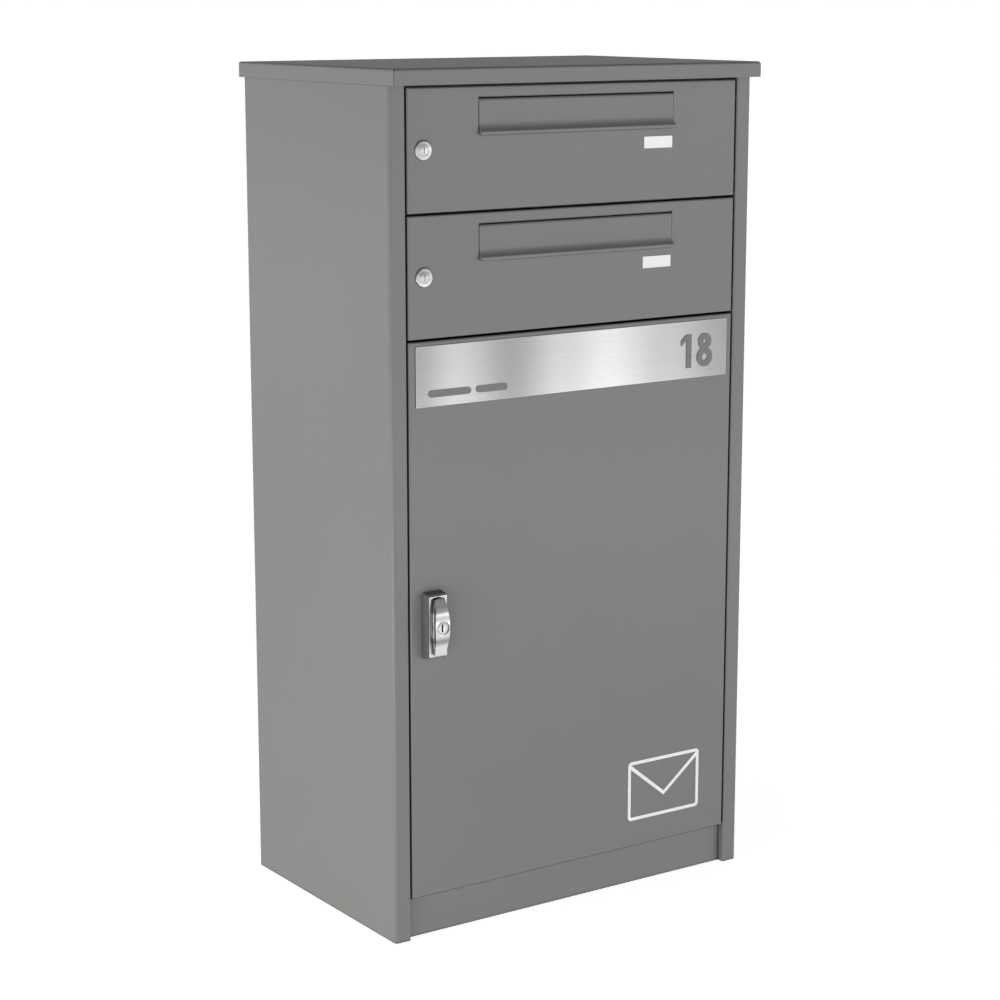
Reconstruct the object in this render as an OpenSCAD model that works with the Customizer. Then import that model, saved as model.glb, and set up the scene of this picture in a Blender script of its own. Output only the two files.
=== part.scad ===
// Free-standing parcel and letter cabinet: two letter doors with mail flaps above one tall
// parcel door, in a folded sheet-metal cabinet with an overhanging roof cap and a recessed
// plinth. X runs along the front, -Y is the front, and Z = 0 is the ground. The origin is
// the middle of the footprint.

/* [Cabinet] */
// Width over the two side panels
body_w = 500; // [470:5:560]
// Depth of the side panels, from front face to back face
body_d = 317.2; // [300:0.4:380]
// Thickness of the folded sheet
sheet = 1.5; // [1.2:0.1:1.8]
// Width of each front post
post_w = 20.7; // [19:0.1:26]
// Outer radius of the posts' front corners
corner_r = 4; // [3:0.5:6]
// Width of the return along each back edge
back_return = 18; // [14:1:24]

/* [Roof] */
// Height of the flange around the roof cap
roof_drop = 17.8; // [14:0.2:24]
// How far the roof cap stands out past the front
roof_front = 15; // [10:1:30]
// How far the roof cap stands out past the back
roof_back = 8.5; // [4:0.5:20]
// How far the roof cap stands out past each side
roof_side = 2.2; // [2.2:0.1:4]
// Outer radius of the cap's folded edges
cap_r = 3; // [2.4:0.1:3.2]

/* [Doors] */
// Height of the tall parcel door
parcel_door_h = 638; // [560:2:760]
// Height of each letter door
letter_door_h = 134.5; // [132:0.5:150]
// Depth of the folded door pans
door_d = 16; // [15:0.5:17]
// Outer radius of the doors' folded edges
fold_r = 2; // [1.8:0.1:3]
// Gap between one door and the next
door_gap = 2.5; // [2.5:0.5:4]
// Gap between the doors and the posts
side_gap = 2.3; // [2.3:0.1:4]
// Gap between the top door and the roof flange
roof_gap = 2.7; // [2.5:0.1:5]
// Distance of the hinge axis from the doors' right edge
hinge_in = 8; // [7.5:0.5:8.5]
// Distance of the hinge axis behind the doors' front face
hinge_back = 6; // [5.5:0.5:6]
// Radius of the hinge pins
hinge_pin_r = 2.5; // [2:0.1:2.5]

/* [Mail flap] */
// Width of the flap
flap_w = 268.4; // [230:0.2:276]
// Distance from the letter door's bottom edge to the top of the flap
flap_top = 121.4; // [118:0.2:122]
// How far the lip stands out from the door
lip_out = 5.5; // [5:0.5:7]
// Radius of the lip's rounded nose
nose_r = 2.4; // [1.6:0.1:2.5]
// Width of the name card
card_w = 40.4; // [30:0.2:60]
// Height of the name card
card_h = 13.3; // [10:0.1:16]

/* [Locks and handle] */
// Distance of the letter locks from the left edge of the door
lock_in = 20.5; // [20:0.5:24]
// Radius of the letter lock's face
lock_face_r = 10.7; // [10:0.1:12]
// Radius of the turning plug of every lock
plug_r = 6; // [5.5:0.1:6]
// Distance of the turn handle from the left edge of the parcel door
grip_in = 28.2; // [27:0.2:34]
// Height of the turn handle above the parcel door's bottom edge
grip_z = 319; // [200:1:420]
// Height of the handle's base
latch_base_h = 76; // [74:1:84]
// Width of the handle's base
latch_base_w = 25.7; // [24:0.1:30]

/* [Number plate] */
// Height of the steel number plate
plate_h = 67; // [50:1:80]
// Margin between the plate and the door's edges
plate_margin = 8.5; // [6:0.5:20]
// Height of the two house-number digits
digit_h = 40; // [24:1:44]

/* [Plinth] */
// Height of the plinth panel
plinth_h = 46.5; // [40:0.5:80]
// How far the plinth lies behind the front face
plinth_in = 9; // [6:0.5:10]
// Gap between the plinth and the parcel door
plinth_gap = 3; // [3:0.5:6]

/* [Hidden] */
$fn = 64;

// A small overrun, so that a cut passes cleanly through the face it starts on
over = 1;
// Radial running clearance between a pin or plug and its bore
running = 0.05;

// Planes of the cabinet
side = body_w / 2;
front = -body_d / 2;
back = body_d / 2;
wall_in = side - sheet;
bend = 0.6;
fold_in = 0.3;
rear_half = wall_in - bend;
bend_out = bend + sheet;
post_x = side - post_w;
rear_y = back - sheet;
rear_panel_y = rear_y - sheet;

// Door stop behind the doors: the gap lets the hinge-side return swing through
stop_y = front + door_d + 5;
stop_w = 16;
stop_back = stop_y + sheet;
stop_edge = post_x - stop_w;
strike_back = stop_back + sheet;

// Roof cap: its corner seams and the radius of its upright edges
seam_w = 0.5;
relief_r = 0.9;
cap_corner = 0.8;

// Heights, from the ground up
parcel_z = plinth_h + plinth_gap;
lower_z = parcel_z + parcel_door_h + door_gap;
upper_z = lower_z + letter_door_h + door_gap;
roof_z = upper_z + letter_door_h + roof_gap;
body_h = roof_z + roof_drop;
roof_under = body_h - sheet;
shelf_h = 15.5;
rail_h = roof_under - roof_z + 12;
stop_z = parcel_z + 4;

// Doors, each in its own frame: X as the cabinet, Y = 0 at its front face, Z = 0 at its
// bottom edge
door_x = post_x - side_gap;
door_w = 2 * door_x;
door_corner = 1.3;
hinge_x = door_x - hinge_in;
letter_hinges = [22, letter_door_h - 22];
parcel_hinges = [60, parcel_door_h - 60];
hinge_levels = concat(
    [for (z = parcel_hinges) parcel_z + z],
    [for (z = letter_hinges) lower_z + z],
    [for (z = letter_hinges) upper_z + z]
);

// Concealed hinge: a fixed bracket arm between two ears on the door
bracket_t = 2.5;
ear_t = 2;
hinge_play = 0.4;
arm_r = hinge_back - sheet - 0.5;
arm_reach = stop_y - front - hinge_back;
notch_h = bracket_t + 4;
pin_head_r = 3.9;
pin_head_t = 1.5;
ear_top = bracket_t / 2 + hinge_play + ear_t;

// Mail flap, in the door's frame
slot_side_gap = 0.7;
flap_shift = 0.3;
slot_top = flap_top + 1.9;
slot_bottom = 86;
slot_half = flap_w / 2 + slot_side_gap;
knuckle_r = 3.2;
flap_pin_r = 1.25;
flap_axis_z = flap_top - knuckle_r;
lip_top = 94.5;
nose_y = nose_r - lip_out;
nose_z = 84.2;
lip_back = -0.4;
flap_foot = slot_bottom + 1;
// Radius of the hollow face of the lip: it leaves the flap's front face upright and meets
// the nose without a step
lip_drop = lip_top - nose_z;
lip_r = (lip_drop * lip_drop + nose_y * nose_y - nose_r * nose_r) / (2 * (nose_r - nose_y));
frame_t = 2;
frame_depth = 19;
frame_top = slot_top - 0.9;
frame_rim = 9.8;
card_z = 65.8;
card_edge = 1;

// Letter lock, in the door's frame
lock_x = -door_x + lock_in;
lock_z = letter_door_h / 2 + 0.4;
barrel_r = 8.5;
barrel_end = 20;
flange_t = 1.8;
flange_chamfer = 0.6;
cam_y = strike_back - front + 1;
cam_t = 2;
cam_len = 15;
cam_screw_r = 2;
key_slot_w = 1.8;
key_slot_h = 8;

// Turn handle, in the parcel door's frame
grip_x = -door_x + grip_in;
base_front = -11.1;
base_taper = 0.6;
base_end_taper = 1.6;
latch_plate_side = 0.85;
latch_plate_end = 3.2;
plate_front = -12.6;
grip_gap = 0.4;
grip_foot = plate_front - grip_gap;
grip_half = 33.5;
grip_apex = -23.2;
grip_tip = 2.8;
grip_mid_w = 19;
grip_end_w = 13;
boss_r = 8;
boss_end = 6;
spindle_r = 5;
arm_y = cam_y;
arm_t = 3;
arm_len = 23;
nut_t = 5;
spot_r = 8.2;
spot_y = -21.9;
plug_face = -22.2;
plug_end = -13.2;
grip_slot_w = 2.6;
grip_slot_h = 9;
grip_slot_d = 5;

// Number plate, in the parcel door's frame
plate_w = door_w - 2 * plate_margin;
plate_t = 1.2;
plate_z = parcel_door_h - 5.3 - plate_h;
mark_t = 0.8;
digit_stroke = 7.5;
digit_x = 148;
digit_z = plate_z + 12;

// Fasteners
screw_r = 2.4;
screw_head_r = 4.2;
screw_head_t = 2.2;
stud_r = 2.5;
stud_x = wall_in - 10;
stud_y = [-90, 20, 130];
stud_len = 10;
rear_screw_x = side - 9;
rear_screw_z = [for (i = [0:4]) 60 + i * (body_h - 112) / 4];
anchor_r = 6.5;
anchor_x = 190;
anchor_y = 100;
wall_fix_r = 4.5;
wall_fix_x = 150;
wall_fix_z = [250, 600];
base_t = 2;
foot = base_t + sheet;
plinth_screw_x = [-200, -80, 80, 200];

// ---------------------------------------------------------------- shapes used throughout

// Rectangle between two corner points
module strip(low, high) {
    translate(low) square(high - low);
}

// Box between two corner points
module block(low, high) {
    translate(low) cube(high - low);
}

// Quarter of a sheet bend, seen along the fold
module bend_ring(centre, outer, turn) {
    translate(centre) rotate(turn) intersection() {
        difference() {
            circle(outer);
            circle(outer - sheet);
        }
        square(outer);
    }
}

// Round bar along +Y
module bar_y(x, z, y0, y1, r) {
    translate([x, y0, z]) rotate([-90, 0, 0]) cylinder(h = y1 - y0, r = r);
}

// Hexagonal bar along +Y, by its width across flats
module hex_y(x, z, y0, y1, flats) {
    translate([x, y0, z]) rotate([-90, 0, 0]) cylinder(h = y1 - y0, r = flats / sqrt(3), $fn = 6);
}

// Outline drawn in X and Z, made solid from y0 to y1
module upright(y0, y1) {
    translate([0, y1, 0]) rotate([90, 0, 0]) linear_extrude(y1 - y0) children();
}

// Rectangle with round corners, centred
module soft_rect(w, h, r) {
    square([w - 2 * r, h], center = true);
    square([w, h - 2 * r], center = true);
    for (x = [-1, 1], y = [-1, 1])
        translate([x * (w / 2 - r), y * (h / 2 - r)]) circle(r);
}

// Block with a soft front: Y = 0 is its front face, and X and Z are centred. Its front
// edges have radius r, and the edges that run back from its corners have radius corner.
module soft_block(w, h, d, r, corner) {
    intersection() {
        upright(0, d) soft_rect(w, h, corner);
        translate([-w, 0, 0]) rotate([90, 0, 90]) linear_extrude(2 * w)
            translate([d, 0]) soft_rect(2 * d, h, r);
        translate([0, d, -h]) linear_extrude(2 * h) soft_rect(w, 2 * d, r);
    }
}

// Folded pan: a soft-edged front with four returns
module pan(w, h, d, r, corner) {
    difference() {
        soft_block(w, h, d, r, corner);
        translate([0, sheet, 0]) soft_block(w - 2 * sheet, h - 2 * sheet, d, fold_in, fold_in);
    }
}

// Folded pan lying flat, with its returns turned down
module tray(y0, y1, top, h) {
    translate([0, (y0 + y1) / 2, top]) rotate([-90, 0, 0]) pan(2 * wall_in, y1 - y0, h, fold_r, fold_r);
}

// ---------------------------------------------------------------- cabinet

// Side panel in plan: wall, front post, jamb and back return, one folded sheet
module side_plan() {
    strip([-side, front + corner_r], [-wall_in, back - bend_out]);
    bend_ring([-side + corner_r, front + corner_r], corner_r, 180);
    strip([-side + corner_r, front], [-post_x - bend_out, front + sheet]);
    bend_ring([-post_x - bend_out, front + bend_out], bend_out, 270);
    strip([-post_x - sheet, front + bend_out], [-post_x, stop_y - bend]);
    bend_ring([-side + bend_out, back - bend_out], bend_out, 90);
    strip([-side + bend_out, rear_y], [-side + back_return, back]);
}

// Door stop in plan, folded from the jamb into the opening
module stop_plan() {
    bend_ring([-post_x + bend, stop_y - bend], bend_out, 90);
    strip([-post_x + bend, stop_y], [-stop_edge, stop_back]);
}

module side_panel() {
    difference() {
        union() {
            linear_extrude(roof_under) side_plan();
            translate([0, 0, stop_z]) linear_extrude(roof_z - stop_z) stop_plan();
            block([-wall_in, stud_y[0] - 20, roof_under - sheet],
                  [-wall_in + 20, stud_y[2] + 20, roof_under]);
        }
        for (y = stud_y)
            translate([-stud_x, y, roof_under - sheet - over]) cylinder(h = sheet + 2 * over, r = stud_r);
        for (z = rear_screw_z) bar_y(-rear_screw_x, z, rear_y - over, back + over, screw_r);
    }
}

module side_panel_left() {
    color("dimgray") side_panel();
}

module side_panel_right() {
    color("dimgray") mirror([1, 0, 0]) side_panel();
}

module rear_panel() {
    color("dimgray") difference() {
        block([-rear_half, rear_panel_y, base_t], [rear_half, rear_y, roof_under]);
        for (x = [-1, 1]) {
            for (z = wall_fix_z) bar_y(x * wall_fix_x, z, rear_panel_y - over, rear_y + over, wall_fix_r);
            for (z = rear_screw_z) bar_y(x * rear_screw_x, z, rear_panel_y - over, rear_y + over, screw_r);
        }
    }
}

// Folded cap: its side flanges meet the front flange in open mitred seams with round
// reliefs, a drip hem is turned in along the front, and studs are welded under it
module roof_cap() {
    cap_y0 = front - roof_front;
    cap_y1 = back + roof_back;
    inner = side + roof_side - sheet;
    seam_top = body_h - cap_r / 2;
    color("dimgray") {
        difference() {
            translate([0, (cap_y0 + cap_y1) / 2, body_h]) rotate([-90, 0, 0])
                pan(2 * (side + roof_side), cap_y1 - cap_y0, roof_drop, cap_r, cap_corner);
            for (x = [-1, 1]) translate([x * (side + roof_side), cap_y0, 0]) rotate(45 * x) {
                block([-seam_w / 2, -over, roof_z - over], [seam_w / 2, 2 * sheet, seam_top]);
                bar_y(0, seam_top, -over, 2 * sheet, relief_r);
            }
        }
        block([-inner + 2, cap_y0 + sheet, roof_z], [inner - 2, cap_y0 + 10, roof_z + sheet]);
        for (x = [-1, 1], y = stud_y)
            translate([x * stud_x, y, roof_under - stud_len]) cylinder(h = stud_len, r = stud_r);
    }
}

module roof_nuts() {
    nut_top = roof_under - sheet;
    color("silver") for (x = [-1, 1], y = stud_y) difference() {
        translate([x * stud_x, y, nut_top - 4]) cylinder(h = 4, r = 4.6, $fn = 6);
        translate([x * stud_x, y, nut_top - 4 - over]) cylinder(h = 4 + 2 * over, r = stud_r);
    }
}

// Channel across the top of the opening, which closes the upper compartment
module top_rail() {
    depth = 18;
    color("dimgray") translate([-wall_in, 0, 0]) rotate([90, 0, 90]) linear_extrude(2 * wall_in)
        difference() {
            strip([stop_back, roof_under - rail_h], [stop_back + depth, roof_under]);
            strip([stop_back + sheet, roof_under - rail_h + sheet],
                  [stop_back + depth + over, roof_under - sheet]);
        }
}

module upper_shelf() {
    color("gray") tray(stop_back, rear_panel_y, upper_z - door_gap / 2 + sheet / 2, shelf_h);
}

module lower_shelf() {
    color("gray") tray(stop_back, rear_panel_y, lower_z - door_gap / 2 + sheet / 2, shelf_h);
}

// Lift-out floor of the parcel compartment, standing on its returns
module parcel_floor() {
    color("gray") tray(stop_back, rear_panel_y, parcel_z, parcel_z - foot);
}

module base_plate() {
    color("gray") difference() {
        block([-wall_in, stop_back, 0], [wall_in, rear_y - bend, base_t]);
        for (x = [-1, 1], y = [-1, 1])
            translate([x * anchor_x, y * anchor_y, -over]) cylinder(h = base_t + 2 * over, r = anchor_r);
        for (x = plinth_screw_x)
            translate([x, stop_back + 8, -over]) cylinder(h = base_t + 2 * over, r = screw_r);
    }
}

// Plinth: a front with one return at the top and one on the base plate
module plinth_panel() {
    face = front + plinth_in;
    half = post_x - 1;
    color("dimgray") difference() {
        translate([-half, 0, 0]) rotate([90, 0, 90]) linear_extrude(2 * half) {
            strip([face, 0], [face + sheet, plinth_h - bend_out]);
            bend_ring([face + bend_out, plinth_h - bend_out], bend_out, 90);
            strip([face + bend_out, plinth_h - sheet], [stop_y - 1, plinth_h]);
            strip([face, base_t], [stop_back + 16, foot]);
        }
        for (x = plinth_screw_x)
            translate([x, stop_back + 8, -over]) cylinder(h = foot + 2 * over, r = screw_r);
    }
}

module plinth_screws() {
    color("silver") for (x = plinth_screw_x) translate([x, stop_back + 8, 0]) {
        cylinder(h = foot, r = screw_r);
        translate([0, 0, foot]) cylinder(h = screw_head_t, r = screw_head_r);
    }
}

module rear_screws() {
    color("silver") for (x = [-1, 1], z = rear_screw_z) {
        bar_y(x * rear_screw_x, z, rear_panel_y - 2, back, screw_r);
        difference() {
            bar_y(x * rear_screw_x, z, back, back + screw_head_t, screw_head_r);
            hex_y(x * rear_screw_x, z, back + 1, back + screw_head_t + over, 3);
        }
    }
}

// Arm that carries a hinge pin: it leaves the pin straight back, clear of the door's swing
module hinge_brackets() {
    color("gray") for (z = hinge_levels) translate([hinge_x, front + hinge_back, z]) difference() {
        union() {
            translate([0, 0, -bracket_t / 2]) linear_extrude(bracket_t) {
                circle(arm_r);
                strip([-arm_r, 0], [1, arm_reach]);
            }
            block([-arm_r, arm_reach - sheet, -9], [9, arm_reach, 9]);
        }
        translate([0, 0, -bracket_t]) cylinder(h = 2 * bracket_t, r = hinge_pin_r);
    }
}

module hinge_pins() {
    head_z = ear_top + 0.3;
    color("silver") for (z = hinge_levels) translate([hinge_x, front + hinge_back, z]) {
        translate([0, 0, -ear_top - 1]) cylinder(h = ear_top + 1 + head_z, r = hinge_pin_r);
        translate([0, 0, head_z]) cylinder(h = pin_head_t, r = pin_head_r);
    }
}

// Hardened plate behind the stop, for a lock's cam to turn against
module strike(z, h) {
    block([-post_x + 0.5, stop_back, z - h / 2], [-stop_edge - 0.5, strike_back, z + h / 2]);
}

module letter_strikes() {
    color("silver") for (z = [lower_z, upper_z]) strike(z + lock_z, 30);
}

module parcel_strike() {
    color("silver") strike(parcel_z + grip_z, 50);
}

// Rubber buffers on the latch-side stop, two to a door
module door_buffers() {
    thickness = stop_y - (front + door_d) - 0.4;
    levels = concat(
        [parcel_z + 80, parcel_z + parcel_door_h - 80],
        [for (d = [lower_z, upper_z], e = [25, letter_door_h - 25]) d + e]
    );
    color("black") for (z = levels) bar_y(-door_x + 4, z, stop_y - thickness, stop_y, 5);
}

// ---------------------------------------------------------------- doors

// Door pan with a notch in its right-hand return at each hinge
module door_pan(h, levels) {
    difference() {
        translate([0, 0, h / 2]) pan(door_w, h, door_d, fold_r, door_corner);
        for (z = levels)
            block([door_x - 2 * sheet, fold_r, z - notch_h / 2],
                  [door_x + over, door_d + over, z + notch_h / 2]);
    }
}

// The two ears of each hinge, above and below the bracket's arm
module hinge_ears(levels) {
    ear_foot = bracket_t / 2 + hinge_play;
    for (z = levels, up = [-1, 1]) difference() {
        translate([hinge_x - 6, sheet, z + (up > 0 ? ear_foot : -ear_foot - ear_t)])
            cube([door_x - fold_r - hinge_x + 6, hinge_back + 4, ear_t]);
        translate([hinge_x, hinge_back, z - notch_h]) cylinder(h = 2 * notch_h, r = hinge_pin_r + running);
    }
}

module letter_door() {
    difference() {
        door_pan(letter_door_h, letter_hinges);
        block([-slot_half, -over, slot_bottom], [slot_half, sheet + over, slot_top]);
        bar_y(lock_x, lock_z, -over, sheet + over, barrel_r);
    }
}

// Rim and throat behind the mail slot; its two cheeks hold the flap's pin
module slot_frame() {
    outer = slot_half + frame_t;
    difference() {
        union() {
            block([-slot_half - frame_rim, sheet, slot_bottom - 8],
                  [slot_half + frame_rim, sheet + frame_t, frame_top + 7]);
            block([-outer, sheet, slot_bottom - frame_t], [outer, frame_depth, frame_top + frame_t]);
        }
        block([-slot_half, sheet - over, slot_bottom], [slot_half, frame_depth + over, frame_top]);
        translate([-outer - over, knuckle_r, flap_axis_z]) rotate([0, 90, 0])
            cylinder(h = 2 * (outer + over), r = flap_pin_r);
    }
}

module flap_pin() {
    outer = slot_half + frame_t;
    translate([-outer, knuckle_r, flap_axis_z]) rotate([0, 90, 0]) cylinder(h = 2 * outer, r = flap_pin_r);
}

// Flap in section: knuckle, flat leaf, and a lip that sweeps out to a round nose
module flap_section() {
    reach = sqrt(pow(nose_y + lip_r, 2) + pow(lip_drop, 2));
    meet = [-lip_r + lip_r * (nose_y + lip_r) / reach, lip_top - lip_r * lip_drop / reach];
    difference() {
        union() {
            translate([knuckle_r, flap_axis_z]) circle(knuckle_r);
            strip([0, lip_top], [sheet, flap_axis_z]);
            difference() {
                polygon([
                    [sheet, flap_foot], [sheet, lip_top], [0, lip_top], [meet.x, lip_top], meet,
                    [nose_y, nose_z], [nose_y, nose_z - nose_r], [lip_back, nose_z - nose_r],
                    [lip_back, flap_foot]
                ]);
                translate([-lip_r, lip_top]) circle(lip_r);
            }
            translate([nose_y, nose_z]) circle(nose_r);
        }
        translate([knuckle_r, flap_axis_z]) circle(flap_pin_r + running);
    }
}

module flap() {
    translate([flap_shift - flap_w / 2, 0, 0]) rotate([90, 0, 90]) linear_extrude(flap_w) flap_section();
}

module name_card() {
    translate([flap_w / 2 - card_edge - card_w / 2, 0, card_z]) upright(-0.5, 0) soft_rect(card_w, card_h, 0.8);
}

module lock_housing() {
    difference() {
        union() {
            translate([lock_x, -flange_t, lock_z]) rotate([-90, 0, 0])
                cylinder(h = flange_chamfer, r1 = lock_face_r - flange_chamfer, r2 = lock_face_r);
            bar_y(lock_x, lock_z, flange_chamfer - flange_t, 0, lock_face_r);
            bar_y(lock_x, lock_z, 0, barrel_end, barrel_r);
        }
        bar_y(lock_x, lock_z, -flange_t - over, barrel_end + over, plug_r + running);
    }
}

module lock_nut() {
    difference() {
        hex_y(lock_x, lock_z, sheet, sheet + 4, 22);
        bar_y(lock_x, lock_z, 0, sheet + 4 + over, barrel_r);
    }
}

module lock_plug() {
    difference() {
        union() {
            bar_y(lock_x, lock_z, 0.2 - flange_t, cam_y, plug_r);
            bar_y(lock_x, lock_z, cam_y, cam_y + cam_t, 3.5);
        }
        block([lock_x - key_slot_w / 2, -flange_t - over, lock_z - key_slot_h / 2],
              [lock_x + key_slot_w / 2, 8, lock_z + key_slot_h / 2]);
        bar_y(lock_x, lock_z, cam_y - 6, cam_y + cam_t + over, cam_screw_r);
    }
}

// Cam hanging down in the unlocked position
module lock_cam() {
    upright(cam_y, cam_y + cam_t) translate([lock_x, lock_z]) difference() {
        union() {
            circle(6);
            strip([-5, -cam_len], [5, 0]);
        }
        circle(3.5);
    }
}

module cam_screw() {
    head_y = cam_y + cam_t;
    bar_y(lock_x, lock_z, cam_y - 6, head_y, cam_screw_r);
    difference() {
        bar_y(lock_x, lock_z, head_y, head_y + 2.4, 4.5);
        block([lock_x - 0.6, head_y + 1.2, lock_z - 5], [lock_x + 0.6, head_y + 3, lock_z + 5]);
    }
}

// One sub-part of a letter door, placed at the door's height
module at_door(z) {
    translate([0, front, z]) children();
}

module upper_letter_door() { color("dimgray") at_door(upper_z) letter_door(); }
module upper_hinge_ears() { color("gray") at_door(upper_z) hinge_ears(letter_hinges); }
module upper_slot_frame() { color("dimgray") at_door(upper_z) slot_frame(); }
module upper_flap_pin() { color("silver") at_door(upper_z) flap_pin(); }
module upper_name_card() { color("white") at_door(upper_z) name_card(); }
module upper_lock_housing() { color("silver") at_door(upper_z) lock_housing(); }
module upper_lock_nut() { color("silver") at_door(upper_z) lock_nut(); }
module upper_flap() { color("dimgray") at_door(upper_z) flap(); }
module upper_lock_plug() { color("silver") at_door(upper_z) lock_plug(); }
module upper_lock_cam() { color("silver") at_door(upper_z) lock_cam(); }
module upper_cam_screw() { color("silver") at_door(upper_z) cam_screw(); }

module lower_letter_door() { color("dimgray") at_door(lower_z) letter_door(); }
module lower_hinge_ears() { color("gray") at_door(lower_z) hinge_ears(letter_hinges); }
module lower_slot_frame() { color("dimgray") at_door(lower_z) slot_frame(); }
module lower_flap_pin() { color("silver") at_door(lower_z) flap_pin(); }
module lower_name_card() { color("white") at_door(lower_z) name_card(); }
module lower_lock_housing() { color("silver") at_door(lower_z) lock_housing(); }
module lower_lock_nut() { color("silver") at_door(lower_z) lock_nut(); }
module lower_flap() { color("dimgray") at_door(lower_z) flap(); }
module lower_lock_plug() { color("silver") at_door(lower_z) lock_plug(); }
module lower_lock_cam() { color("silver") at_door(lower_z) lock_cam(); }
module lower_cam_screw() { color("silver") at_door(lower_z) cam_screw(); }

// ---------------------------------------------------------------- parcel door

module parcel_door() {
    color("dimgray") at_door(parcel_z) difference() {
        door_pan(parcel_door_h, parcel_hinges);
        bar_y(grip_x, grip_z, -over, sheet + over, boss_r + running);
        for (z = [-1, 1]) bar_y(grip_x, grip_z + z * 26, -over, sheet + over, screw_r);
    }
}

module parcel_hinge_ears() {
    color("gray") at_door(parcel_z) hinge_ears(parcel_hinges);
}

// Hat-section stiffener welded up the inside of the door
module door_stiffener() {
    half = 32;
    depth = 12;
    color("gray") at_door(parcel_z) translate([0, 0, 30]) linear_extrude(parcel_door_h - 60)
        translate([0, sheet]) difference() {
            union() {
                strip([-half, 0], [half, sheet]);
                strip([14 - half, 0], [half - 14, depth]);
            }
            strip([14 - half + sheet, -over], [half - 14 - sheet, depth - sheet]);
        }
}

module number_plate() {
    color("lightgray") at_door(parcel_z) translate([0, 0, plate_z + plate_h / 2])
        upright(-plate_t, 0) soft_rect(plate_w, plate_h, 1);
}

// Ring of one stroke's width, for the digits
module digit_ring(r) {
    difference() {
        circle(r);
        circle(r - digit_stroke);
    }
}

// Digits one and eight, on a common foot line
module house_digits() {
    small_r = 0.245 * digit_h;
    large_r = 0.29 * digit_h;
    slope = digit_stroke * 0.9;
    color("gray") at_door(parcel_z) upright(-plate_t - mark_t, -plate_t) translate([digit_x, digit_z]) {
        strip([10, 0], [10 + digit_stroke, digit_h]);
        polygon([
            [10, digit_h], [2, digit_h - slope], [2, digit_h - 2 * slope], [10, digit_h - slope]
        ]);
        translate([26 + large_r, large_r]) digit_ring(large_r);
        translate([26 + large_r, digit_h - small_r]) digit_ring(small_r);
    }
}

// Two plain bars in the place of a resident's name
module name_bars() {
    bar_h = 8;
    color("gray") at_door(parcel_z) upright(-plate_t - mark_t, -plate_t)
        translate([-plate_w / 2 + 16, plate_z + 14]) {
            translate([28, 0]) soft_rect(56, bar_h, bar_h / 2 - 0.1);
            translate([84, 0]) soft_rect(42, bar_h, bar_h / 2 - 0.1);
        }
}

// Line drawing of a plain envelope
module door_emblem() {
    w = 108;
    h = 74;
    line = 4;
    color("white") at_door(parcel_z) upright(-0.4, 0) translate([134, 69]) {
        difference() {
            soft_rect(w, h, 5);
            soft_rect(w - 2 * line, h - 2 * line, 2);
        }
        for (x = [-1, 1]) scale([x, 1]) polygon([
            [line - w / 2, h / 2 - line], [line - w / 2, h / 2 - 2.4 * line],
            [0, -0.1 * h - 1.3 * line], [0, -0.1 * h]
        ]);
    }
}

// Dark base of the handle, slightly narrower at its front
module latch_base() {
    half_w = latch_base_w / 2;
    half_h = latch_base_h / 2;
    color("#3c3c3e") at_door(parcel_z) translate([grip_x, 0, grip_z]) difference() {
        intersection() {
            translate([0, 0, -half_h]) linear_extrude(latch_base_h) polygon([
                [-half_w, 0], [half_w, 0],
                [half_w - base_taper, base_front], [base_taper - half_w, base_front]
            ]);
            translate([-half_w, 0, 0]) rotate([90, 0, 90]) linear_extrude(latch_base_w) polygon([
                [0, -half_h], [0, half_h],
                [base_front, half_h - base_end_taper], [base_front, base_end_taper - half_h]
            ]);
        }
        bar_y(0, 0, base_front - over, over, boss_r + running);
        for (z = [-26, 26]) bar_y(0, z, -6, over, screw_r);
    }
}

module latch_plate() {
    color("silver") at_door(parcel_z) translate([grip_x, 0, grip_z]) difference() {
        upright(plate_front, base_front)
            soft_rect(latch_base_w - 2 * latch_plate_side, latch_base_h - 2 * latch_plate_end, 1.2);
        bar_y(0, 0, plate_front - over, base_front + over, boss_r + running);
    }
}

module latch_screws() {
    color("silver") at_door(parcel_z) for (z = [grip_z - 26, grip_z + 26]) {
        bar_y(grip_x, z, -6, sheet, screw_r);
        bar_y(grip_x, z, sheet, sheet + screw_head_t, screw_head_r);
    }
}

// Bowed grip with a round boss and a spindle behind it
module turn_grip() {
    sag = grip_foot - grip_tip - grip_apex;
    bow_r = (grip_half * grip_half + sag * sag) / (2 * sag);
    swell = (grip_mid_w - grip_end_w) / 2;
    flank_r = (grip_half * grip_half + swell * swell) / (2 * swell);
    color("silver") at_door(parcel_z) translate([grip_x, 0, grip_z]) difference() {
        union() {
            intersection() {
                translate([-grip_mid_w, 0, 0]) rotate([90, 0, 90]) linear_extrude(2 * grip_mid_w)
                    intersection() {
                        translate([grip_apex + bow_r, 0]) circle(bow_r, $fn = 200);
                        strip([grip_apex - over, -grip_half], [grip_foot, grip_half]);
                    }
                upright(grip_apex - over, grip_foot) intersection() {
                    left_flank(flank_r);
                    mirror([1, 0]) left_flank(flank_r);
                    square([2 * grip_mid_w, 2 * grip_half], center = true);
                }
            }
            bar_y(0, 0, grip_foot, boss_end, boss_r);
            bar_y(0, 0, boss_end, arm_y + arm_t + nut_t, spindle_r);
        }
        bar_y(0, 0, grip_apex - 2 * over, spot_y, spot_r);
        bar_y(0, 0, grip_apex - 2 * over, plug_end, plug_r + running);
    }
}

// Large circle whose edge is the grip's left flank
module left_flank(flank_r) {
    translate([flank_r - grip_mid_w / 2, 0]) circle(flank_r, $fn = 200);
}

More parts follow.
